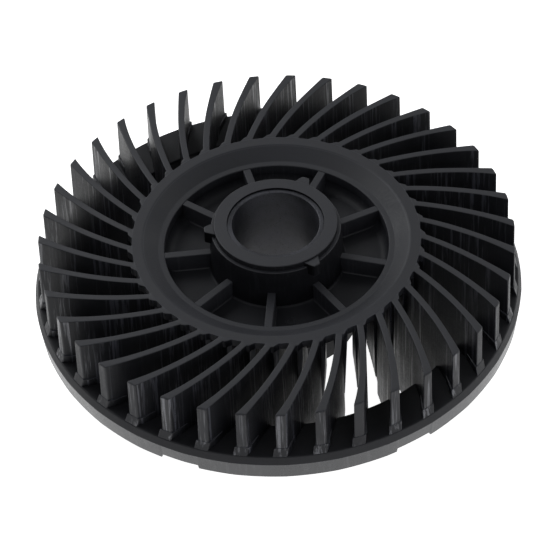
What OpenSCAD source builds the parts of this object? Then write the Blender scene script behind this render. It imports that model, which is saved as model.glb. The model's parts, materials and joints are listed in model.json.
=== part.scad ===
// Moulded cooling-fan flywheel: swept blades between a dished web and a rim, on a hub that turns on a bush.
// Axis of rotation is Z. Z = 0 is the plane that the hub barrel and the bush stand on.

/* [Wheel] */
// Radius over the blade tips
tip_r = 61; // [58:0.5:64]
// Height of the plane that holds the blade tops and the top ring
blade_top_z = 28; // [27:0.5:30]
// Wall thickness of the ring, the dish, the barrel and the rim
wall = 2.2; // [1.6:0.1:2.4]

/* [Blades] */
// Number of blades
blade_count = 39; // [30:1:42]
// Azimuth of the first blade's tip
blade_az = 1.37; // [0:0.01:9]
// Angle between a blade and the radius at its tip
blade_tip_angle = 28.9; // [24:0.1:32]
// Radius of the arc along a blade's middle
blade_arc_r = 94.8; // [85:0.1:110]
// Blade thickness
blade_t = 1.85; // [1.5:0.05:2.2]
// Blade thickness at the flared tip
blade_tip_t = 2.45; // [2.2:0.05:2.8]
// Width of the foot that stands on the rim plate
foot_w = 3.2; // [2.8:0.1:3.6]
// Height of the foot
foot_h = 2.2; // [1.5:0.1:3]

/* [Dish] */
// Inner radius of the flat top ring
ring_in_r = 34.3; // [33.5:0.1:35]
// Outer radius of the flat top ring
ring_out_r = 36.9; // [36.5:0.1:38]
// Outer radius of the ledge at the foot of the slope
ledge_out_r = 30.3; // [29.8:0.1:31]
// Radius of the well
well_r = 28.7; // [28:0.1:29]
// Depth of the ledge below the blade tops
ledge_depth = 2.4; // [2:0.1:3]
// Depth of the well's floor below the blade tops
well_depth = 7.6; // [7:0.1:9]
// Number of ribs in the well
rib_count = 9; // [6:1:12]
// Azimuth of the first rib
rib_az = 24; // [0:0.5:40]
// Rib thickness
rib_t = 2.1; // [1.6:0.1:2.6]

/* [Hub] */
// Bore radius of the bush
bore_r = 11.1; // [10:0.05:11.4]
// Outer radius of the bush
bush_r = 12.35; // [12:0.05:12.6]
// Radial running clearance between the bush and the hub
running_gap = 0.03; // [0.02:0.01:0.08]
// Radius of the boss at its foot
boss_foot_r = 17.4; // [17.2:0.1:17.8]
// Radius of the boss at its shoulder
boss_top_r = 16.6; // [16.4:0.1:17]
// Radius of the collar
collar_r = 15.8; // [15.4:0.1:16.2]
// Height of the collar's face above the blade tops
collar_rise = 5.6; // [5:0.1:6.5]
// Height of the boss's shoulder above the blade tops
shoulder_rise = 4; // [3.5:0.1:4.5]
// Radius that the lugs reach
lug_r = 18.3; // [18:0.1:19]
// Width of a lug where it leaves the collar
lug_w = 4.4; // [3:0.1:5]
// Azimuth of the first lug
lug_az = 63; // [0:1:120]
// Outer radius of the barrel under the dish
barrel_r = 20.7; // [20.5:0.1:21.5]

/* [Rim] */
// Inner radius of the rim
rim_in_r = 51.2; // [50:0.1:52]
// Outer radius of the rim
rim_out_r = 62.8; // [62.5:0.1:64]
// Depth of the rim plate's top below the blade tops
plate_depth = 14.3; // [13:0.1:15]
// Depth of the rim's bottom edge below the blade tops
rim_depth = 21.5; // [20.5:0.1:22]
// Depth of the notches in the rim's bottom edge
notch_h = 1.1; // [0.8:0.1:1.6]
// Width of a notch in degrees
notch_deg = 9.2; // [6:0.1:12]
// Angle between the two notches of a pair
notch_pair_deg = 56.3; // [50:0.1:70]

/* [Hidden] */
$fn = 180;
blade_steps = 14; // steps along a blade's outline
eps = 1; // how far a cutter passes the solid that it cuts

ring_z = blade_top_z - wall;
ledge_z = blade_top_z - ledge_depth;
shoulder_z = blade_top_z + shoulder_rise;
collar_z = blade_top_z + collar_rise;
floor_z = blade_top_z - well_depth;
web_z = floor_z - wall; // underside of the dish
plate_z = blade_top_z - plate_depth;
band_z = plate_z - wall;
rim_z = blade_top_z - rim_depth;
well_out_r = well_r + wall;
shoulder_in_z = ledge_z - wall; // where the slope's underside meets the well's wall
web_low_z = 10.1; // lower edge of a blade at the well's wall
keel_in_r = 38.3; // radius of the step where a blade's lower edge drops to the barrel's end
keel_in_z = 3.4; // height at which that step starts
keel_out_r = 46; // radius from which the lower edge rises to the rim
plate_bevel = 0.9;
plate_edge_r = rim_out_r - plate_bevel; // outer edge of the rim plate's flat top
hub_r = bush_r + running_gap;
core_r = 15.8; // outer radius of the hub below the dish
core_z = 1.3; // lower end of the hub, just above the bush's flange
flange_r = 14.6; // radius of the bush's flange
flange_h = 1.2;
bush_drop = 0.5; // how far the bush's end lies below the collar's face
barrel_in_r = barrel_r - wall;
core_web_z = 2; // lower edge of the webs inside the barrel
core_web_t = 1.8;
rib_drop = 0.2; // how far the ribs stay below the ledge
rib_z = ledge_z - rib_drop;
lug_drop = 0.5; // how far a lug's top lies below the collar's face
lug_h = 3.6;
lug_tip_r = 0.7; // radius of a lug's nose
lug_root = 0.5; // depth of the flat that a lug's flanks start from
band_in_r = rim_out_r - wall;
band_taper = 0.6;
band_foot_r = rim_out_r - band_taper; // outer radius at the rim's bottom edge
first_pair_mid = 33; // azimuth midway between the first pair of notches
tab_r = 38.1; // radius that a blade's root tab reaches
tab_root_w = 2.2; // the tab's reach from the blade's middle, at the ring
tab_end_w = 1.6; // and at its outer end
tab_corner = 0.4;
tab_step = 0.4; // height of the tab's underside above the ring's
flare_r = 52.5; // radius at which a blade starts to flare
foot_len = 4.4;
foot_proud = 0.85; // how far a foot stands out past the tip, at its bottom edge
foot_top_proud = 0.1; // and at its top edge
foot_out_r = tip_r + foot_proud;
foot_top_r = tip_r + foot_top_proud;

// Centre of the arc that a blade follows, for a blade whose tip is at azimuth 0
arc_c = [tip_r - blade_arc_r * sin(blade_tip_angle), -blade_arc_r * cos(blade_tip_angle)];

nylon = "#222327";
bush_grey = "#3a3b3e";

function two(n) = n < 10 ? str("0", n) : str(n);
function blade_name(i) = str("blade_", two(i + 1));
function blade_tip_az(i) = blade_az + i * 360 / blade_count;
// Azimuth at which a blade's middle crosses radius r, ahead of its tip
function blade_lead(r) =
    let (d = norm(arc_c))
    atan2(arc_c[1], arc_c[0]) + acos((d * d + r * r - blade_arc_r * blade_arc_r) / (2 * d * r));
// Point on a blade's middle at radius r, for a blade whose tip is at azimuth 0
function blade_mid(r) = r * [cos(blade_lead(r)), sin(blade_lead(r))];
function flare(r) = max(0, (r - flare_r) / (tip_r - flare_r));
function half_t(r) = (blade_t + (blade_tip_t - blade_t) * pow(flare(r), 2)) / 2;
// Point on a blade's hollow side (side -1) or its full side (side 1)
function blade_side(r, side) =
    let (across = (blade_mid(r) - arc_c) / blade_arc_r)
    blade_mid(r) + side * half_t(r) * across;
// Radius of step k along a blade's outline, which runs past both of its ends
function blade_step_r(k) = well_r + (tip_r + eps - well_r) * k / blade_steps;
// Radius of the boss's drafted side at height z
function boss_side_r(z) = boss_foot_r + (boss_top_r - boss_foot_r) * (z - floor_z) / (shoulder_z - floor_z);

// A plain tube between two radii and two heights
module tube(r_in, r_out, z_low, z_high) {
    translate([0, 0, z_low])
        difference() {
            cylinder(r = r_out, h = z_high - z_low);
            translate([0, 0, -eps])
                cylinder(r = r_in, h = z_high - z_low + 2 * eps);
        }
}

// A flat web along +X, centred on the X axis
module web(r_in, r_out, thickness, z_low, z_high) {
    translate([r_in, -thickness / 2, z_low])
        cube([r_out - r_in, thickness, z_high - z_low]);
}

// Flanged bush that the hub turns on
module bore_bush() {
    color(bush_grey)
        rotate_extrude()
            polygon([
                [bore_r, 0],
                [flange_r, 0],
                [flange_r, flange_h],
                [bush_r, flange_h],
                [bush_r, collar_z - bush_drop],
                [bore_r, collar_z - bush_drop]
            ]);
}

// Boss above the dish, drafted towards its shoulder
module hub_boss() {
    color(nylon)
        rotate_extrude()
            polygon([
                [hub_r, web_z],
                [boss_foot_r, web_z],
                [boss_foot_r, floor_z],
                [boss_top_r, shoulder_z],
                [hub_r, shoulder_z]
            ]);
}

// Raised collar on the boss's shoulder
module hub_collar() {
    color(nylon) tube(hub_r, collar_r, shoulder_z, collar_z);
}

// Space outside the boss and the collar that the lugs fill
module lug_space() {
    low = collar_z - lug_drop - lug_h;
    rotate_extrude()
        polygon([
            [boss_side_r(low), low],
            [lug_r + eps, low],
            [lug_r + eps, collar_z - lug_drop],
            [collar_r, collar_z - lug_drop],
            [collar_r, shoulder_z],
            [boss_top_r, shoulder_z]
        ]);
}

// Outline of a lug: two flanks that run to a rounded nose
module lug_outline() {
    hull() {
        translate([collar_r - 2 * lug_root, -lug_w / 2]) square([lug_root, lug_w]);
        translate([lug_r - lug_tip_r, 0]) circle(r = lug_tip_r, $fn = 32);
    }
}

// Three driving lugs round the collar
module hub_lugs() {
    color(nylon)
        for (i = [0:2])
            intersection() {
                lug_space();
                rotate([0, 0, lug_az + i * 120])
                    translate([0, 0, shoulder_z - 2 * lug_h])
                        linear_extrude(height = 4 * lug_h) lug_outline();
            }
}

// Lower length of the hub, inside the barrel
module hub_core() {
    color(nylon) tube(hub_r, core_r, core_z, web_z);
}

// Webs that tie the barrel to the hub's core
module core_webs() {
    color(nylon)
        for (i = [0:rib_count - 1])
            intersection() {
                tube(core_r, barrel_in_r, core_web_z, web_z);
                rotate([0, 0, rib_az + i * 360 / rib_count])
                    web(core_r - eps, barrel_in_r + eps, core_web_t, core_web_z, web_z);
            }
}

// Barrel that carries the dish
module hub_barrel() {
    color(nylon) tube(barrel_in_r, barrel_r, 0, web_z);
}

// Floor of the well
module well_floor() {
    color(nylon) tube(boss_foot_r, well_r, web_z, floor_z);
}

// Wall of the well
module well_wall() {
    color(nylon) tube(well_r, well_out_r, web_z, shoulder_in_z);
}

// Radial ribs between the boss and the well's wall
module well_ribs() {
    color(nylon)
        for (i = [0:rib_count - 1])
            intersection() {
                rotate_extrude()
                    polygon([
                        [boss_foot_r, floor_z],
                        [well_r, floor_z],
                        [well_r, rib_z],
                        [boss_side_r(rib_z), rib_z]
                    ]);
                rotate([0, 0, rib_az + i * 360 / rib_count])
                    web(boss_top_r - eps, well_r + eps, rib_t, floor_z, rib_z);
            }
}

// Ledge round the well and the slope that rises to the top ring
module dish_slope() {
    color(nylon)
        rotate_extrude()
            polygon([
                [well_r, shoulder_in_z],
                [well_out_r, shoulder_in_z],
                [ring_in_r, ring_z],
                [ring_in_r, blade_top_z],
                [ledge_out_r, ledge_z],
                [well_r, ledge_z]
            ]);
}

// Flat ring, level with the blade tops, that joins the blade roots
module top_ring() {
    color(nylon) tube(ring_in_r, ring_out_r, ring_z, blade_top_z);
}

// Flat plate that the blade feet stand on
module rim_plate() {
    color(nylon)
        rotate_extrude()
            polygon([
                [rim_in_r, band_z],
                [rim_out_r, band_z],
                [plate_edge_r, plate_z],
                [rim_in_r, plate_z]
            ]);
}

// Outer wall of the rim, with three pairs of notches in its bottom edge
module rim_band() {
    color(nylon)
        difference() {
            rotate_extrude()
                polygon([
                    [band_in_r, rim_z],
                    [band_foot_r, rim_z],
                    [rim_out_r, band_z],
                    [band_in_r, band_z]
                ]);
            for (i = [0:2])
                for (side = [-1, 1])
                    rotate([0, 0, first_pair_mid + i * 120 + side * notch_pair_deg / 2])
                        notch();
        }
}

// Cutter for one notch
module notch() {
    half_w = rim_out_r * sin(notch_deg / 2);
    translate([band_in_r - eps, -half_w, rim_z - eps])
        cube([wall + 2 * eps, 2 * half_w, notch_h + eps]);
}

// Inner wall of the rim, round the air inlet
module rim_inner_wall() {
    color(nylon) tube(rim_in_r, rim_in_r + wall, rim_z, band_z);
}

// Section of the space that a blade fills between the dish, the rim and the tips
module blade_space() {
    rotate_extrude()
        polygon([
            [well_out_r, web_low_z],
            [keel_in_r, keel_in_z],
            [keel_in_r, 0],
            [keel_out_r, 0],
            [rim_in_r, rim_z],
            [rim_in_r, plate_z],
            [tip_r, plate_z],
            [tip_r, blade_top_z],
            [ring_out_r, blade_top_z],
            [ring_out_r, ring_z],
            [ring_in_r, ring_z],
            [well_out_r, shoulder_in_z]
        ]);
}

// Curved wall of a blade, flared towards the tip
module blade_wall() {
    linear_extrude(height = blade_top_z)
        polygon(concat(
            [for (k = [0:blade_steps]) blade_side(blade_step_r(k), -1)],
            [for (k = [blade_steps:-1:0]) blade_side(blade_step_r(k), 1)]
        ));
}

// Small gusset where a blade's root meets the top ring
module root_tab() {
    reach = tab_r - ring_out_r;
    rotate([0, 0, blade_lead(ring_out_r)])
        translate([ring_out_r, 0, ring_z + tab_step])
            linear_extrude(height = wall - tab_step)
                polygon([
                    [-eps, 0],
                    [reach, 0],
                    [reach, blade_t / 2],
                    [reach - tab_corner, tab_end_w],
                    [-eps, tab_root_w]
                ]);
}

// Wider foot under a blade's tip, on the rim plate
module foot() {
    intersection() {
        rotate_extrude()
            polygon([
                [tip_r - foot_len, plate_z],
                [foot_out_r, plate_z],
                [foot_top_r, plate_z + foot_h],
                [tip_r - foot_len, plate_z + foot_h]
            ]);
        translate([tip_r, 0, plate_z])
            rotate([0, 0, -blade_tip_angle])
                translate([-foot_len * 2, -foot_w / 2, 0])
                    cube([foot_len * 3, foot_w, foot_h]);
    }
}

// One blade with its root tab and its foot
module blade(i) {
    color(nylon)
        rotate([0, 0, blade_tip_az(i)])
            union() {
                intersection() {
                    blade_space();
                    union() {
                        blade_wall();
                        root_tab();
                    }
                }
                foot();
            }
}

bore_bush();
hub_boss();
hub_collar();
hub_lugs();
hub_core();
core_webs();
hub_barrel();
well_floor();
well_wall();
well_ribs();
dish_slope();
top_ring();
rim_plate();
rim_band();
rim_inner_wall();
for (i = [0:blade_count - 1])
    blade(i);
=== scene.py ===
"""Looks of the cooling-fan flywheel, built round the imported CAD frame.

Sizes below are millimetres, as in the design, and become metres where a mesh is made.
"""
import json
import math

import bmesh
import bpy
from mathutils import Matrix, Vector


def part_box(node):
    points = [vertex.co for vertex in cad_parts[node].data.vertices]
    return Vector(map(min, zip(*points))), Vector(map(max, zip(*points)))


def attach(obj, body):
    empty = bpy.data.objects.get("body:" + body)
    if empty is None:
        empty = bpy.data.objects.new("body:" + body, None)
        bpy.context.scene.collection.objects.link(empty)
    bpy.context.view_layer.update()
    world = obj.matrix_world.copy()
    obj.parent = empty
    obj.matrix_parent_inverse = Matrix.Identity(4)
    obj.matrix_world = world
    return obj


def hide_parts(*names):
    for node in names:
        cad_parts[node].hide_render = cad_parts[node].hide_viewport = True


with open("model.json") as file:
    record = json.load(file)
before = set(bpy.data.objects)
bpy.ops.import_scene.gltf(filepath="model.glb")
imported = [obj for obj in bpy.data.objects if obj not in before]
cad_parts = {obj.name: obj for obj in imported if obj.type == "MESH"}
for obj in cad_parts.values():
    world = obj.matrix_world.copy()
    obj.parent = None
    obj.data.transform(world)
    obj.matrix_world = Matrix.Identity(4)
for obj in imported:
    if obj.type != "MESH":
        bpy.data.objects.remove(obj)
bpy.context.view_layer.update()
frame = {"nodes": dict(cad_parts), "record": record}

MM = 0.001
TAU = 2 * math.pi

# ---------------------------------------------------------------- sizes, from the frame


def top_of(node):
    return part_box(node)[1][2] / MM


def bottom_of(node):
    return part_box(node)[0][2] / MM


def outer_r(node):
    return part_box(node)[1][0] / MM


TOP_Z = top_of("top_ring")
WALL = TOP_Z - bottom_of("top_ring")
RING_Z = TOP_Z - WALL
RING_OUT_R = outer_r("top_ring")
RING_IN_R = outer_r("dish_slope")
WELL_OUT_R = outer_r("well_wall")
WELL_R = outer_r("well_floor")
LEDGE_Z = top_of("well_wall") + WALL
FLOOR_Z = top_of("well_floor")
WEB_Z = bottom_of("well_floor")
RIB_Z = top_of("well_ribs")

shaft_bore = next(mount for mount in frame["record"]["mounts"] if mount["name"] == "shaft_bore")
BORE_R = shaft_bore["dims"]["r_mm"]
BUSH_TOP_Z = top_of("bore_bush")
FLANGE_R = outer_r("bore_bush")
BOSS_FOOT_R = outer_r("hub_boss")
SHOULDER_Z = top_of("hub_boss")
COLLAR_R = outer_r("hub_collar")
COLLAR_Z = top_of("hub_collar")
LUG_TOP_Z = top_of("hub_lugs")
LUG_LOW_Z = bottom_of("hub_lugs")
CORE_R = outer_r("hub_core")
CORE_Z = bottom_of("hub_core")
CORE_WEB_Z = bottom_of("core_webs")
BARREL_R = outer_r("hub_barrel")

RIM_OUT_R = outer_r("rim_band")
RIM_IN_R = outer_r("rim_inner_wall") - WALL
PLATE_Z = top_of("rim_plate")
BAND_Z = bottom_of("rim_plate")
RIM_Z = bottom_of("rim_band")

BLADE_NODES = sorted(n for n in frame["nodes"] if n.startswith("blade_"))

# ---------------------------------------------------------------- sizes that the frame's boxes don't show

LEDGE_OUT_R = RING_IN_R - 4.0
BUSH_R = 12.35
RUNNING_GAP = 0.03
HUB_R = BUSH_R + RUNNING_GAP
FLANGE_H = 1.2
BOSS_TOP_R = BOSS_FOOT_R - 0.8

RIB_COUNT = 9
FIRST_RIB = math.radians(24)
RIB_T = 2.1
WEB_T = 1.8
LUG_COUNT = 3
FIRST_LUG = math.radians(63)
LUG_R = 18.3
LUG_ROOT_R = COLLAR_R - 0.6

TIP_R = 61.0
FIRST_TIP = math.radians(1.37)
TIP_ANGLE = math.radians(28.9)  # between a blade and the radius, at its tip
ARC_R = 94.8  # radius of a blade's curve
BLADE_T = 1.85
TIP_T = 2.45
FLARE_R = 52.5  # where a blade starts to thicken towards its tip
WEB_LOW_Z = 10.1  # a blade's lower edge at the well's wall
KEEL_IN_R = 38.3  # where that edge, then at KEEL_IN_Z, steps down to the wheel's underside
KEEL_IN_Z = 3.4
KEEL_OUT_R = 46.0  # where it starts to rise to the rim
TAB_R = 38.1  # end of a blade's root tab
TAB_ROOT = 1.2  # what the tab adds to a blade's width at the ring, and at its end
TAB_END = 0.7
TAB_CORNER = 0.4
FOOT_W = 3.2
FOOT_LEN = 4.4
FOOT_H = 2.2

STEPS = 468  # steps of a full turn, a multiple of the blades, the ribs and the lugs
SINK = 0.15  # how far a piece reaches into its neighbour, so that no gap shows
LAP = 0.1  # the same for thin edges

# ---------------------------------------------------------------- mesh helpers

MERGE = 2e-7  # points closer than this, in metres, become one
SHARP = math.radians(38)  # edges that turn by more than this are drawn sharp


def at(r, azimuth, z):
    return Vector((r * math.cos(azimuth), r * math.sin(azimuth), z))


def quarter(steps):
    """Angles from 0 to a quarter turn."""
    return [math.pi / 2 * k / steps for k in range(steps + 1)]


def rounded(corners, arc_steps=4):
    """A closed outline with its corners rounded. corners holds (x, y, radius), where 0 keeps a corner."""
    points = []
    for k, (x, y, radius) in enumerate(corners):
        here = Vector((x, y))
        if radius <= 0:
            points.append(here)
            continue
        before = Vector(corners[k - 1][:2])
        after = Vector(corners[(k + 1) % len(corners)][:2])
        to_before = (before - here).normalized()
        to_after = (after - here).normalized()
        half = to_before.angle(to_after) / 2
        reach = radius / math.tan(half)
        centre = here + (to_before + to_after).normalized() * (radius / math.sin(half))
        start = here + to_before * reach - centre
        end = here + to_after * reach - centre
        turn = start.angle_signed(end)
        for step in range(arc_steps + 1):
            points.append(centre + Matrix.Rotation(-turn * step / arc_steps, 2) @ start)
    return [(p.x, p.y) for p in points]


def loft(bm, sections, loop=False):
    """Faces between closed sections of equally many points, capped unless they run in a loop."""
    rings = [[bm.verts.new(p * MM) for p in section] for section in sections]
    pairs = list(zip(rings, rings[1:]))
    if loop:
        pairs.append((rings[-1], rings[0]))
    for a, b in pairs:
        for k in range(len(a)):
            bm.faces.new((a[k - 1], a[k], b[k], b[k - 1]))
    if not loop:
        bm.faces.new(rings[0])
        bm.faces.new(reversed(rings[-1]))


def revolve(bm, outline, steps=STEPS, centre=Vector((0, 0, 0))):
    """Turns an outline of (r, z) round an upright axis through the centre."""
    sections = [[centre + at(r, TAU * k / steps, z) for r, z in outline] for k in range(steps)]
    loft(bm, sections, loop=True)


def piece(name, bm, material, body, *nodes, slot="nylon"):
    """Turns bm into the visible piece that stands for the CAD nodes and rides on the body."""
    bmesh.ops.remove_doubles(bm, verts=bm.verts, dist=MERGE)
    bmesh.ops.dissolve_degenerate(bm, edges=bm.edges, dist=MERGE)
    bmesh.ops.recalc_face_normals(bm, faces=bm.faces)
    for face in bm.faces:
        face.smooth = True
    for edge in bm.edges:
        edge.smooth = edge.is_manifold and edge.calc_face_angle(0) < SHARP
    mesh = bpy.data.meshes.new(name)
    bm.to_mesh(mesh)
    bm.free()
    obj = bpy.data.objects.new(name, mesh)
    bpy.context.scene.collection.objects.link(obj)
    mesh.materials.append(material)
    weighted = obj.modifiers.new("weighted_normals", "WEIGHTED_NORMAL")
    weighted.keep_sharp = True
    weighted.weight = 80
    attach(obj, body)
    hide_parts(*nodes)


def turned_piece(name, corners, material, body, slot="nylon"):
    """A piece of revolution that stands for the node of the same name."""
    bm = bmesh.new()
    revolve(bm, rounded(corners))
    piece(name + "_skin", bm, material, body, name, slot=slot)


# ---------------------------------------------------------------- materials

BLACK = (0.0, 0.0, 0.0)
WEAR_REACH = 0.00035  # metres from an edge to the end of its rubbed line
GLINT_AND_WEAR_GAIN = 3.2  # how much lighter than the nylon a painted highlight on a drawn streak, or a rubbed edge, can be
OUTWARD_RELIEF = 0.2  # share of the painted shade on upright faces that outward ones are spared


def new_material(name, colour, roughness, specular):
    material = bpy.data.materials.new(name)
    material.use_nodes = True
    shader = material.node_tree.nodes["Principled BSDF"]
    shader.inputs["Base Color"].default_value = (*colour, 1)
    shader.inputs["Roughness"].default_value = roughness
    shader.inputs["Specular IOR Level"].default_value = specular
    return material


class Graph:
    """Short names for the nodes that the materials share."""

    def __init__(self, material):
        self.tree = material.node_tree
        self.shader = self.tree.nodes["Principled BSDF"]
        coordinates = self.add("ShaderNodeTexCoord")
        self.object = coordinates.outputs["Object"]
        self.normal = coordinates.outputs["Normal"]

    def add(self, kind, **values):
        node = self.tree.nodes.new(kind)
        for key, value in values.items():
            setattr(node, key, value)
        return node

    def link(self, source, target):
        self.tree.links.new(source, target)

    def put(self, value, name):
        """Drives the shader's input of that name."""
        self.link(value, self.shader.inputs[name])

    def math(self, operation, a, b=0.0, clamp=False):
        node = self.add("ShaderNodeMath", operation=operation, use_clamp=clamp)
        for socket, value in zip(node.inputs, (a, b)):
            if isinstance(value, (int, float)):
                socket.default_value = value
            else:
                self.link(value, socket)
        return node.outputs[0]

    def plus(self, a, b, clamp=False):
        return self.math("ADD", a, b, clamp)

    def minus(self, a, b, clamp=False):
        return self.math("SUBTRACT", a, b, clamp)

    def times(self, a, *others):
        for b in others:
            a = self.math("MULTIPLY", a, b)
        return a

    def remap(self, value, low, high, to_low=0.0, to_high=1.0):
        node = self.add("ShaderNodeMapRange", interpolation_type="SMOOTHSTEP")
        self.link(value, node.inputs["Value"])
        numbers = (low, high, to_low, to_high)
        for key, number in zip(("From Min", "From Max", "To Min", "To Max"), numbers):
            node.inputs[key].default_value = number
        return node.outputs[0]

    def noise(self, scale, stretch=(1, 1, 1), detail=3.0, rough=0.55, shift=(0, 0, 0)):
        """Noise with features of about 1 / scale metres, longer along an axis whose stretch is under 1."""
        mapping = self.add("ShaderNodeMapping")
        mapping.inputs["Scale"].default_value = stretch
        mapping.inputs["Location"].default_value = shift
        self.link(self.object, mapping.inputs["Vector"])
        node = self.add("ShaderNodeTexNoise")
        node.inputs["Scale"].default_value = scale
        node.inputs["Detail"].default_value = detail
        node.inputs["Roughness"].default_value = rough
        self.link(mapping.outputs[0], node.inputs["Vector"])
        return node.outputs[0]

    def dot(self, a, b):
        node = self.add("ShaderNodeVectorMath", operation="DOT_PRODUCT")
        self.link(a, node.inputs[0])
        self.link(b, node.inputs[1])
        return node.outputs["Value"]

    def surface_normal(self):
        return self.add("ShaderNodeNewGeometry").outputs["Normal"]

    def steepness(self):
        """0 on level faces and 1 on upright ones, from how much the normal points up or down."""
        split = self.add("ShaderNodeSeparateXYZ")
        self.link(self.surface_normal(), split.inputs[0])
        return self.remap(self.math("ABSOLUTE", split.outputs["Z"]), 0.85, 0.35)

    def outward(self):
        """1 on faces that look straight away from the axis."""
        level = self.add("ShaderNodeVectorMath", operation="MULTIPLY")
        self.link(self.object, level.inputs[0])
        level.inputs[1].default_value = (1, 1, 0)
        radial = self.add("ShaderNodeVectorMath", operation="NORMALIZE")
        self.link(level.outputs[0], radial.inputs[0])
        return self.remap(self.dot(radial.outputs[0], self.normal), 0.6, 0.9)

    def edges(self, radius):
        """1 along edges, 0 on open faces."""
        bevel = self.add("ShaderNodeBevel", samples=6)
        bevel.inputs["Radius"].default_value = radius
        return self.remap(self.dot(bevel.outputs[0], self.surface_normal()), 0.995, 0.86)

    def blend(self, factor, dark, light):
        """Mixes two colours, which a Mix node takes at inputs 6 and 7 and gives at output 2."""
        node = self.add("ShaderNodeMix", data_type="RGBA")
        self.link(factor, node.inputs["Factor"])
        for socket, colour in zip((node.inputs[6], node.inputs[7]), (dark, light)):
            if isinstance(colour, tuple):
                socket.default_value = (*colour, 1)
            else:
                self.link(colour, socket)
        return node.outputs[2]

    def bump(self, height, distance, strength):
        node = self.add("ShaderNodeBump")
        node.inputs["Distance"].default_value = distance
        node.inputs["Strength"].default_value = strength
        self.link(height, node.inputs["Height"])
        self.put(node.outputs[0], "Normal")


def nylon(name, dark, light, roughness, specular=0.5, wall=1.0, streak_and_glint=1.0, worn=0.5):
    """Moulded black nylon: mottled, finely grained, with streaks drawn down its walls that carry painted
    highlights, rubbed edges, and painted shade on its upright faces.

    wall scales the colour and the shine of its upright faces, and less so of those that look outward:
    painted shade, which a wall of 1 leaves out.
    streak scales the drawn streaks and their painted highlights, and worn the rubbed edges.
    """
    material = new_material(name, light, roughness, specular)
    g = Graph(material)
    steep = g.steepness()
    cloud = g.noise(70, detail=4)
    grain = g.noise(1500, detail=3, rough=0.7, shift=(0.3, 0.1, 0.2))
    marks = g.noise(1300, stretch=(1, 1, 0.035), detail=4, rough=0.65, shift=(0.7, 0.4, 0))
    bands = g.noise(190, stretch=(1, 1, 0.05), detail=2, shift=(0.2, 0.9, 0))
    # Drawn streaks on upright faces: their shine and roughness are real, and the colour they lift is a
    # painted highlight.
    draw_and_glint = g.times(g.remap(marks, 0.5, 0.62), g.remap(bands, 0.4, 0.58), steep, streak_and_glint)
    edge = g.times(g.edges(WEAR_REACH), worn)

    mottle = g.plus(g.times(cloud, 0.45), g.times(grain, 0.55))
    # Painted shade: upright faces darken towards black and lose shine by 1 - wall, outward-looking ones
    # less.
    inward = g.minus(1.0, g.times(g.outward(), OUTWARD_RELIEF))
    painted_shade = g.times(steep, inward, 1 - wall)
    base = g.blend(painted_shade, g.blend(g.remap(mottle, 0.34, 0.66), dark, light), BLACK)
    # Lighter colour: painted highlights on the drawn streaks, and real wear on the rubbed edges.
    glint_and_wear = g.plus(g.times(draw_and_glint, 0.5), g.times(edge, 0.6), clamp=True)
    g.put(g.blend(glint_and_wear, base, tuple(GLINT_AND_WEAR_GAIN * c for c in light)), "Base Color")
    if wall < 1 or streak_and_glint > 0:  # otherwise the shine is the same all over, as new_material sets it
        shine = g.times(g.minus(1.0, painted_shade), specular)
        g.put(g.plus(shine, g.times(draw_and_glint, 0.45)), "Specular IOR Level")

    rough = g.plus(g.remap(cloud, 0.25, 0.75, -0.05, 0.06), roughness)
    rough = g.plus(rough, g.remap(grain, 0.3, 0.7, -0.06, 0.06))
    rough = g.minus(rough, g.times(draw_and_glint, 0.16))
    g.put(g.minus(rough, g.times(edge, 0.08), clamp=True), "Roughness")

    height = g.plus(g.times(marks, steep, 0.9 * streak_and_glint), g.times(grain, 0.3))
    g.bump(height, distance=0.00012, strength=0.6)
    return material


def sintered_iron(name, roughness=0.42):
    """Dark oil-soaked sintered iron: pitted, with fine turning marks round the axis."""
    material = new_material(name, (0.03, 0.03, 0.032), roughness, 0.5)
    g = Graph(material)
    g.shader.inputs["Metallic"].default_value = 0.35
    cloud = g.noise(160, detail=4)
    turning = g.noise(420, stretch=(0.06, 0.06, 9), detail=2)
    pits = g.remap(g.noise(3400, detail=1), 0.62, 0.72)
    base = g.blend(g.remap(cloud, 0.3, 0.7), (0.02, 0.021, 0.0265), (0.056, 0.0575, 0.069))
    g.put(g.blend(pits, base, (0.008, 0.008, 0.009)), "Base Color")
    rough = g.plus(g.remap(cloud, 0.3, 0.7, -0.07, 0.08), roughness)
    g.put(g.plus(rough, g.times(pits, 0.2)), "Roughness")
    g.bump(g.minus(g.times(turning, 0.5), pits), distance=0.00005, strength=0.5)
    return material


# A wall below 1, as on the hub and the blades, paints shade on upright faces.
hub_nylon = nylon(
    "nylon_hub", (0.017, 0.0178, 0.0225), (0.025, 0.026, 0.0325),
    roughness=0.56, wall=0.15, streak_and_glint=0.08
)
dish_nylon = nylon(
    "nylon_dish", (0.015, 0.0157, 0.02), (0.023, 0.024, 0.0302),
    roughness=0.58, streak_and_glint=0.3
)
# Painted shade: a darker, less shiny copy of the dish nylon for the floor of the well.
painted_shade_floor_nylon = nylon(
    "nylon_floor_painted_shade", (0.01, 0.0105, 0.0135), (0.016, 0.0168, 0.0212),
    roughness=0.6, specular=0.36, streak_and_glint=0.3
)
blade_nylon = nylon(
    "nylon_blades", (0.015, 0.0157, 0.02), (0.024, 0.025, 0.0315),
    roughness=0.5, wall=0.4
)
plate_nylon = nylon(
    "nylon_plate", (0.008, 0.0083, 0.0105), (0.013, 0.0135, 0.0168),
    roughness=0.55, specular=0.3, streak_and_glint=0.0, worn=0.15
)
rim_nylon = nylon(
    "nylon_rim", (0.017, 0.0175, 0.0195), (0.029, 0.0297, 0.033),
    roughness=0.32, specular=0.55, streak_and_glint=0.15, worn=0.7
)
iron = sintered_iron("bush_iron")

# ---------------------------------------------------------------- hub

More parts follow.
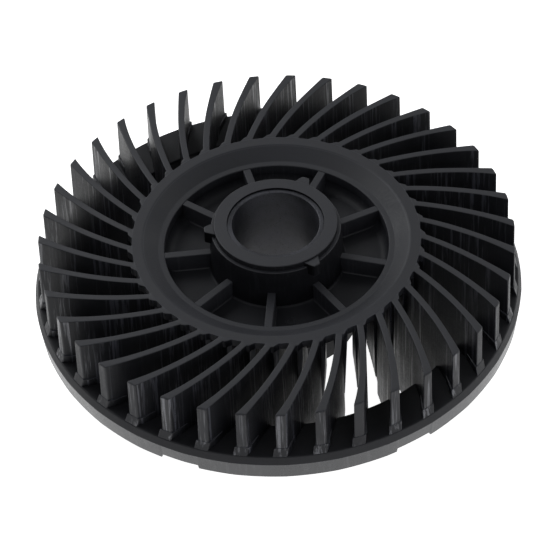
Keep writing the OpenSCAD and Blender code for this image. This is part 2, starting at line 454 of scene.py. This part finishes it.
turned_piece("bore_bush", [
    (BORE_R, 0, 0.25),
    (FLANGE_R, 0, 0.2),
    (FLANGE_R, FLANGE_H, 0.2),
    (BUSH_R, FLANGE_H, 0),
    (BUSH_R, BUSH_TOP_Z, 0.05),
    (BORE_R, BUSH_TOP_Z, 0.25),
], iron, "bush", slot="bush")

turned_piece("hub_boss", [
    (HUB_R, WEB_Z - SINK, 0),
    (BOSS_FOOT_R, WEB_Z - SINK, 0),
    (BOSS_FOOT_R, FLOOR_Z, 0),
    (BOSS_TOP_R, SHOULDER_Z, 0.3),
    (HUB_R, SHOULDER_Z, 0),
], hub_nylon, "wheel")

turned_piece("hub_collar", [
    (HUB_R, SHOULDER_Z - SINK, 0),
    (COLLAR_R, SHOULDER_Z - SINK, 0),
    (COLLAR_R, COLLAR_Z, 0.3),
    (HUB_R, COLLAR_Z, 0.15),
], hub_nylon, "wheel")

turned_piece("hub_core", [
    (HUB_R, CORE_Z, 0.2),
    (CORE_R, CORE_Z, 0.3),
    (CORE_R, WEB_Z + SINK, 0),
    (HUB_R, WEB_Z + SINK, 0),
], hub_nylon, "wheel")

turned_piece("hub_barrel", [
    (BARREL_R - WALL, 0, 0.3),
    (BARREL_R, 0, 0.3),
    (BARREL_R, WEB_Z + SINK, 0),
    (BARREL_R - WALL, WEB_Z + SINK, 0),
], hub_nylon, "wheel")

# ---------------------------------------------------------------- dish

BOSS_FILLET = 0.6
WALL_FILLET = 2.4


def ejector_mark(bm):
    """A shallow ring on the well's floor, near the front rib."""
    place = at(22.6, math.radians(-83), FLOOR_Z)
    inner, outer, height, edge = 0.8, 1.4, 0.18, 0.08
    corners = [(inner, -SINK, 0), (outer, -SINK, 0), (outer, height, edge), (inner, height, edge)]
    revolve(bm, rounded(corners, 2), steps=24, centre=place)


def well_floor():
    """The floor, with a wide fillet up its wall and a small one up the boss, whose lean it follows."""
    wall_fillet_top = FLOOR_Z + 1.1 * WALL_FILLET
    boss_fillet_top = FLOOR_Z + 2 * BOSS_FILLET
    boss_lean = 0.12
    bm = bmesh.new()
    revolve(bm, rounded([
        (BOSS_FOOT_R - SINK, WEB_Z, 0),
        (WELL_R + SINK, WEB_Z, 0),
        (WELL_R + SINK, wall_fillet_top, 0),
        (WELL_R, wall_fillet_top, 0),
        (WELL_R, FLOOR_Z, WALL_FILLET),
        (BOSS_FOOT_R, FLOOR_Z, BOSS_FILLET),
        (BOSS_FOOT_R - boss_lean, boss_fillet_top, 0),
        (BOSS_FOOT_R - 2 * SINK, boss_fillet_top, 0),
    ]))
    ejector_mark(bm)
    piece("well_floor_skin", bm, painted_shade_floor_nylon, "wheel", "well_floor")


well_floor()

turned_piece("well_wall", [
    (WELL_R, WEB_Z, 0),
    (WELL_OUT_R, WEB_Z, 0.4),
    (WELL_OUT_R, LEDGE_Z - WALL + SINK, 0),
    (WELL_R, LEDGE_Z - WALL + SINK, 0),
], dish_nylon, "wheel")

SLOPE = (TOP_Z - LEDGE_Z) / (RING_IN_R - LEDGE_OUT_R)
CREST = 0.3  # how far inside the ring's edge its rounded crest starts
CREST_R = RING_IN_R - CREST

turned_piece("dish_slope", [
    (WELL_R, LEDGE_Z - WALL, 0),
    (WELL_OUT_R, LEDGE_Z - WALL, 0.4),
    (CREST_R, RING_Z - LAP, 0),
    (CREST_R, TOP_Z - CREST * SLOPE, 0),
    (LEDGE_OUT_R, LEDGE_Z, 0.8),
    (WELL_R, LEDGE_Z, 0.3),
], dish_nylon, "wheel")

turned_piece("top_ring", [
    (CREST_R, RING_Z, 0),
    (RING_OUT_R, RING_Z, 0.15),
    (RING_OUT_R, TOP_Z, 0),
    (RING_IN_R, TOP_Z, 0.9),
    (CREST_R, TOP_Z - CREST * SLOPE, 0),
], dish_nylon, "wheel")

# ---------------------------------------------------------------- ribs, webs and lugs

RIB_AZIMUTHS = [FIRST_RIB + TAU * i / RIB_COUNT for i in range(RIB_COUNT)]


def radial_bar(bm, azimuth, r_ends, section):
    """A straight bar between two radii. section holds (across, z)."""
    turn = Matrix.Rotation(azimuth, 3, "Z")
    loft(bm, [[turn @ Vector((r, x, z)) for x, z in section] for r in r_ends])


def well_ribs():
    """Ribs with rounded top edges and small fillets along their feet."""
    half, draft, fillet, edge = RIB_T / 2, 0.05, 0.4, 0.22
    r_ends = (BOSS_TOP_R - 0.2, WELL_R + SINK)
    section = rounded([
        (-half - fillet, FLOOR_Z - SINK, 0),
        (-half - fillet, FLOOR_Z, 0),
        (-half, FLOOR_Z, fillet * 0.9),
        (-half + draft, RIB_Z, edge),
        (half - draft, RIB_Z, edge),
        (half, FLOOR_Z, fillet * 0.9),
        (half + fillet, FLOOR_Z, 0),
        (half + fillet, FLOOR_Z - SINK, 0),
    ], 3)
    bm = bmesh.new()
    for azimuth in RIB_AZIMUTHS:
        radial_bar(bm, azimuth, r_ends, section)
    piece("well_ribs_skin", bm, dish_nylon, "wheel", "well_ribs")


def core_webs():
    """Webs under the dish, between the hub's core and the barrel."""
    half, edge = WEB_T / 2, 0.25
    r_ends = (CORE_R - SINK, BARREL_R - WALL + SINK)
    corners = [(-half, CORE_WEB_Z, edge), (half, CORE_WEB_Z, edge), (half, WEB_Z, 0), (-half, WEB_Z, 0)]
    section = rounded(corners, 3)
    bm = bmesh.new()
    for azimuth in RIB_AZIMUTHS:
        radial_bar(bm, azimuth, r_ends, section)
    piece("core_webs_skin", bm, hub_nylon, "wheel", "core_webs")


def lug(bm, azimuth):
    """A nub beside the collar that narrows to a blunt nose, its top edge rounded."""
    half, nose, corner, edge = 2.4, 0.95, 0.6, 0.3
    plan = rounded([
        (LUG_ROOT_R, -half, 0),
        (LUG_R, -nose, corner),
        (LUG_R, nose, corner),
        (LUG_ROOT_R, half, 0),
    ])
    levels = [(LUG_LOW_Z, 0.0)]
    for a in quarter(3):
        levels.append((LUG_TOP_Z - edge + edge * math.sin(a), edge * (1 - math.cos(a))))
    turn = Matrix.Rotation(azimuth, 3, "Z")
    root = Vector((LUG_ROOT_R, 0))
    sections = []
    for z, inset in levels:
        shrink = 1 - inset / (LUG_R - LUG_ROOT_R)
        flat = [root + (Vector(p) - root) * shrink for p in plan]
        sections.append([turn @ Vector((p.x, p.y, z)) for p in flat])
    loft(bm, sections)


def hub_lugs():
    bm = bmesh.new()
    for i in range(LUG_COUNT):
        lug(bm, FIRST_LUG + TAU * i / LUG_COUNT)
    piece("hub_lugs_skin", bm, hub_nylon, "wheel", "hub_lugs")


well_ribs()
core_webs()
hub_lugs()

# ---------------------------------------------------------------- rim

PLATE_LOW_R = RIM_OUT_R - 0.5
PLATE_TOP_R = RIM_OUT_R - 0.9

turned_piece("rim_plate", [
    (RIM_IN_R, BAND_Z - SINK, 0),
    (PLATE_LOW_R, BAND_Z - SINK, 0),
    (RIM_OUT_R, BAND_Z + LAP / 2, 0.2),
    (PLATE_TOP_R, PLATE_Z, 0.5),
    (RIM_IN_R, PLATE_Z, 0.5),
], plate_nylon, "wheel")

turned_piece("rim_inner_wall", [
    (RIM_IN_R, RIM_Z, 0.3),
    (RIM_IN_R + WALL, RIM_Z, 0.3),
    (RIM_IN_R + WALL, BAND_Z, 0),
    (RIM_IN_R, BAND_Z, 0),
], rim_nylon, "wheel")

NOTCH_H = 1.1
NOTCH_WIDTH = math.radians(9.2)
NOTCH_PAIRS = 3
FIRST_PAIR = 33  # azimuth of the first pair's middle, in degrees
PAIR_APART = 56.3  # degrees between the notches of a pair
NOTCH_MIDS = [
    math.radians(FIRST_PAIR + 360 / NOTCH_PAIRS * i + side * PAIR_APART / 2)
    for i in range(NOTCH_PAIRS)
    for side in (-1, 1)
]
NOTCH_ENDS = sorted((mid + side * NOTCH_WIDTH / 2) % TAU for mid in NOTCH_MIDS for side in (-1, 1))
NOTCH_SOFT = math.radians(0.12)  # half the angle over which a notch's end steps up

FACETS = 30  # flats round the rim's outer wall
FACET = TAU / FACETS
FACET_START = math.radians(6)
FACET_SHARE = 0.2  # how deep a flat is, as a share of a true flat's depth
BAND_STEPS = 13 * FACETS


def between(azimuth, other):
    """The angle between two azimuths."""
    return abs((azimuth - other + math.pi) % TAU - math.pi)


def notch_lift(azimuth):
    """How far the wall's lower edge is lifted at this azimuth."""
    return NOTCH_H if min(between(azimuth, mid) for mid in NOTCH_MIDS) < NOTCH_WIDTH / 2 else 0.0


def band_section(azimuth):
    """Section of the rim's outer wall, which is narrower at its foot and made of faint flats."""
    low, high = RIM_Z + notch_lift(azimuth), BAND_Z + LAP
    foot_in, top_in = 0.6, 0.02
    across = (azimuth - FACET_START) % FACET - FACET / 2
    flat = FACET_SHARE * RIM_OUT_R * (1 - math.cos(FACET / 2) / math.cos(across))
    outline = rounded([
        (RIM_OUT_R - WALL, low, 0.3),
        (RIM_OUT_R - foot_in - flat, low, 0.35),
        (RIM_OUT_R - top_in - flat, high, 0),
        (RIM_OUT_R - WALL, high, 0),
    ], 3)
    return [at(r, azimuth, z) for r, z in outline]


def rim_band():
    """The rim's outer wall. A stop that is too near a notch's end gives way to the two at that end."""
    clear = NOTCH_SOFT * 1.5
    stops = []
    for k in range(BAND_STEPS):
        azimuth = (FACET_START + TAU * k / BAND_STEPS) % TAU
        if min(between(azimuth, end) for end in NOTCH_ENDS) > clear:
            stops.append(azimuth)
    stops += [end + nudge for end in NOTCH_ENDS for nudge in (-NOTCH_SOFT, NOTCH_SOFT)]
    bm = bmesh.new()
    loft(bm, [band_section(azimuth) for azimuth in sorted(stops)], loop=True)
    piece("rim_band_skin", bm, rim_nylon, "wheel", "rim_band")


rim_band()

# ---------------------------------------------------------------- blades

ARC_C = Vector((TIP_R - ARC_R * math.sin(TIP_ANGLE), -ARC_R * math.cos(TIP_ANGLE)))
ARC_D = ARC_C.length
ARC_AZIMUTH = math.atan2(ARC_C.y, ARC_C.x)
LIP = 0.22  # radius of a blade's edges
END = 0.4  # radius of the corners at its tip
ROOT_FILLET = 0.5
DRAFT = math.tan(math.radians(0.45))
TOP_INSET = 0.06  # how much thinner its top is than the design's, on each side
WEB_STEP = 0.18  # how much thinner a blade is inside its keel, on each side

# Radii of a blade's sections. They lie closer where its width or its lower edge changes faster.
NEAR = 0.02  # the length of a step in a wall
UNDER_DISH = [WELL_OUT_R - SINK, 31.8, 32.9, RING_IN_R, 35.6, RING_OUT_R - NEAR / 2]
ROOT = [RING_OUT_R + out for out in (0.0, 0.1, 0.3, 0.6)]
TAB_TIP = [TAB_R - back for back in (TAB_CORNER, 0.25, 0.12, 0.04, 0.0)] + [TAB_R + NEAR]
KEEL = [KEEL_IN_R - NEAR, KEEL_IN_R, 40, 41.5, 43, 44.5, KEEL_OUT_R, 47.5, 49.3, RIM_IN_R + SINK]
ON_PLATE = [RIM_IN_R + SINK, 52.5, 54, 55.5, 57, 58.2, 59.2, 60, TIP_R - END]


def lead(r):
    """Azimuth of a blade's middle at radius r, ahead of its tip."""
    return ARC_AZIMUTH + math.acos((ARC_D ** 2 + r * r - ARC_R ** 2) / (2 * ARC_D * r))


def slant(r):
    """Cosine of the angle between a blade and the radius at r."""
    return math.sqrt(1 - ((r * r + ARC_R ** 2 - ARC_D ** 2) / (2 * r * ARC_R)) ** 2)


def blade_point(tip, r, u, z):
    """The point u across from a blade's middle, measured square to the blade."""
    return at(r, tip + lead(r) + u / (r * slant(r)), z)


def half_width(r, z):
    """Half a blade's thickness: it flares towards the tip, and has draft."""
    flare = max(0.0, (r - FLARE_R) / (TIP_R - FLARE_R))
    return (BLADE_T + (TIP_T - BLADE_T) * flare ** 2) / 2 + DRAFT * (TOP_Z - z) - TOP_INSET


def low_edge(r):
    """Height of a blade's lower edge at radius r, inside the rim."""
    if r < KEEL_IN_R:
        return WEB_LOW_Z + (KEEL_IN_Z - WEB_LOW_Z) * (r - WELL_OUT_R) / (KEEL_IN_R - WELL_OUT_R)
    return RIM_Z * max(0.0, r - KEEL_OUT_R) / (RIM_IN_R + SINK - KEEL_OUT_R)


def underside(r):
    """Height of the underside of the dish and of the ring at radius r."""
    rise = RING_Z - LEDGE_Z + WALL
    return min(RING_Z, LEDGE_Z - WALL + (r - WELL_OUT_R) * rise / (RING_IN_R - WELL_OUT_R))


def root_fillet(r):
    """Width that the fillet between a blade and the ring adds."""
    gap = max(0.0, min(ROOT_FILLET, r - RING_OUT_R))
    return ROOT_FILLET - math.sqrt(ROOT_FILLET ** 2 - (ROOT_FILLET - gap) ** 2)


def tab(r):
    """Width that the root tab adds: it narrows outwards, and its end is rounded off."""
    rest = TAB_R - r
    if rest <= 0:
        return 0.0
    if rest >= TAB_CORNER:
        return TAB_END + (TAB_ROOT - TAB_END) * (rest - TAB_CORNER) / (TAB_R - TAB_CORNER - RING_OUT_R)
    return TAB_END - TAB_CORNER + math.sqrt(TAB_CORNER ** 2 - (TAB_CORNER - rest) ** 2)


def blade_section(tip, r, low, high, inset=0.0, tabs=True):
    """Closed section of a blade at radius r. inset draws the walls and the top in, for the rounded tip.

    tabs adds the fillet on one side and the root tab on the other, above the ring's underside.
    """
    high -= inset
    left = root_fillet(r) if tabs else 0.0
    right = tab(r) if tabs else 0.0
    shelf = max(low, min(RING_Z if tabs else low, high - LIP))
    thin = WEB_STEP if r < KEEL_IN_R else 0.0
    turns = quarter(3)
    points = []

    def put(side, z, extra):
        points.append(blade_point(tip, r, side * (half_width(r, z) + extra - inset), z))

    put(-1, low, -thin)
    put(-1, shelf, -thin)
    put(-1, shelf, left)
    for a in turns:
        put(-1, high - LIP + LIP * math.sin(a), left - LIP * (1 - math.cos(a)))
    for a in reversed(turns):
        put(1, high - LIP + LIP * math.sin(a), right - LIP * (1 - math.cos(a)))
    put(1, shelf, right)
    put(1, shelf, -thin)
    put(1, low, -thin)
    return points


def blade_sections(tip):
    sections = [blade_section(tip, r, low_edge(r), underside(r) + SINK, tabs=False) for r in UNDER_DISH]
    sections += [blade_section(tip, r, low_edge(r), TOP_Z) for r in ROOT + TAB_TIP + KEEL]
    sections += [blade_section(tip, r, PLATE_Z - SINK, TOP_Z) for r in ON_PLATE]
    for a in quarter(4)[1:]:
        r = TIP_R - END + END * math.sin(a)
        sections.append(blade_section(tip, r, PLATE_Z - SINK, TOP_Z, inset=END * (1 - math.cos(a))))
    return sections


def foot_sections(tip):
    """The wider block under a blade's tip: it narrows inwards, and its outer face leans in."""
    top = PLATE_Z + FOOT_H
    out = TIP_R + 0.85
    edge, soft = 0.2, 0.06
    lean, lean_len = 0.75, 1
    side_line = [(PLATE_Z - SINK, 0), (top - edge, 0), (top - soft, soft), (top, edge)]
    outline = [(-1, *point) for point in side_line] + [(1, *point) for point in reversed(side_line)]
    narrowing = [
        (TIP_R - FOOT_LEN, 0.45),
        (TIP_R - 3, 0.28),
        (TIP_R - 1.2, 0.0),
        (TIP_R - lean_len, 0.0),
        (out - 0.25, 0.0),
        (out - 0.07, 0.07),
        (out, 0.25),
    ]
    sections = []
    for r, inset in narrowing:
        share = max(0.0, (r - TIP_R + lean_len) / (out - TIP_R + lean_len))
        section = []
        for side, z, in_by in outline:
            lean_in = lean * share * max(0.0, (z - PLATE_Z) / FOOT_H)
            section.append(blade_point(tip, r - lean_in, side * (FOOT_W / 2 - in_by - inset), z))
        sections.append(section)
    return sections


def blade(node, tip):
    """The blade whose tip is at the azimuth tip."""
    bm = bmesh.new()
    loft(bm, blade_sections(tip))
    loft(bm, foot_sections(tip))
    piece(node + "_skin", bm, blade_nylon, "wheel", node)


for i, node in enumerate(BLADE_NODES):
    blade(node, FIRST_TIP + TAU * i / len(BLADE_NODES))

# ---------------------------------------------------------------- floor, light and camera

FLOOR_HALF = 3.0  # metres
FLOOR_DROP = 0.0002  # metres, so that the floor isn't in the same plane as the wheel's underside
LIGHT_COLOUR = (0.96, 0.98, 1.0)
LIGHT_AIM = Vector((0, 0, 0.02))
WORLD_STRENGTH = 0.14


def pale_floor():
    """Plain and glowing, because the background of the photo is pure white."""
    material = new_material("pale_floor", (0.86, 0.86, 0.86), 0.8, 0.2)
    shader = material.node_tree.nodes["Principled BSDF"]
    shader.inputs["Emission Color"].default_value = (1, 1, 1, 1)
    shader.inputs["Emission Strength"].default_value = 1.0
    return material


def add_floor():
    mesh = bpy.data.meshes.new("floor")
    signs = ((-1, -1), (1, -1), (1, 1), (-1, 1))
    mesh.from_pydata([(x * FLOOR_HALF, y * FLOOR_HALF, -FLOOR_DROP) for x, y in signs], [], [(0, 1, 2, 3)])
    mesh.materials.append(pale_floor())
    floor = bpy.data.objects.new("floor", mesh)
    bpy.context.scene.collection.objects.link(floor)


def softbox(name, place, size, power):
    """A soft light that looks at the wheel. Its place and size are metres, its power watts."""
    light = bpy.data.lights.new(name, "AREA")
    light.shape = "RECTANGLE"
    light.size, light.size_y = size
    light.energy = power
    light.color = LIGHT_COLOUR
    obj = bpy.data.objects.new(name, light)
    obj.location = place
    obj.rotation_euler = (LIGHT_AIM - Vector(place)).to_track_quat("-Z", "Y").to_euler()
    bpy.context.scene.collection.objects.link(obj)


def add_world():
    world = bpy.data.worlds.new("studio")
    world.use_nodes = True
    background = world.node_tree.nodes["Background"]
    background.inputs["Color"].default_value = (1, 1, 1, 1)
    background.inputs["Strength"].default_value = WORLD_STRENGTH
    bpy.context.scene.world = world


def add_camera():
    """The photograph's view: 46 degrees above the wheel's plane, turned a little about its own axis."""
    elevation, roll = math.radians(46.07), math.radians(-2.54)
    distance, aim_right, aim_down = 15.549, 0.008, 0.178  # in tip radii, from the middle of the top
    unit = TIP_R * MM
    forward = Vector((0, math.cos(elevation), -math.sin(elevation)))
    up = Vector((0, math.sin(elevation), math.cos(elevation)))
    right = Vector((1, 0, 0))
    place = Vector((0, 0, TOP_Z * MM)) + unit * (aim_right * right - aim_down * up - distance * forward)
    cam_right = math.cos(roll) * right + math.sin(roll) * up
    cam_up = math.cos(roll) * up - math.sin(roll) * right
    camera = bpy.data.cameras.new("camera")
    camera.sensor_width = 36
    camera.lens = 238.87
    camera.clip_start, camera.clip_end = 0.05, 20
    obj = bpy.data.objects.new("camera", camera)
    turn = Matrix((cam_right, cam_up, -forward)).transposed()
    obj.matrix_world = Matrix.Translation(place) @ turn.to_4x4()
    bpy.context.scene.collection.objects.link(obj)
    bpy.context.scene.camera = obj


add_floor()
softbox("left_back", (-0.4, 0.42, 0.45), (0.65, 0.55), 2.5)
softbox("right_back", (0.36, 0.42, 0.42), (0.6, 0.5), 0.9)
softbox("right_low", (0.75, -0.05, 0.2), (0.5, 0.3), 0.7)
softbox("top", (-0.1, -0.35, 0.8), (0.9, 0.7), 0.6)
softbox("front_left", (-0.45, -0.6, 0.5), (0.6, 0.5), 0.35)
softbox("front_right", (0.5, -0.7, 0.3), (0.6, 0.4), 1.0)
add_world()
bpy.context.scene.view_settings.view_transform = "Standard"
add_camera()

bpy.context.view_layer.update()
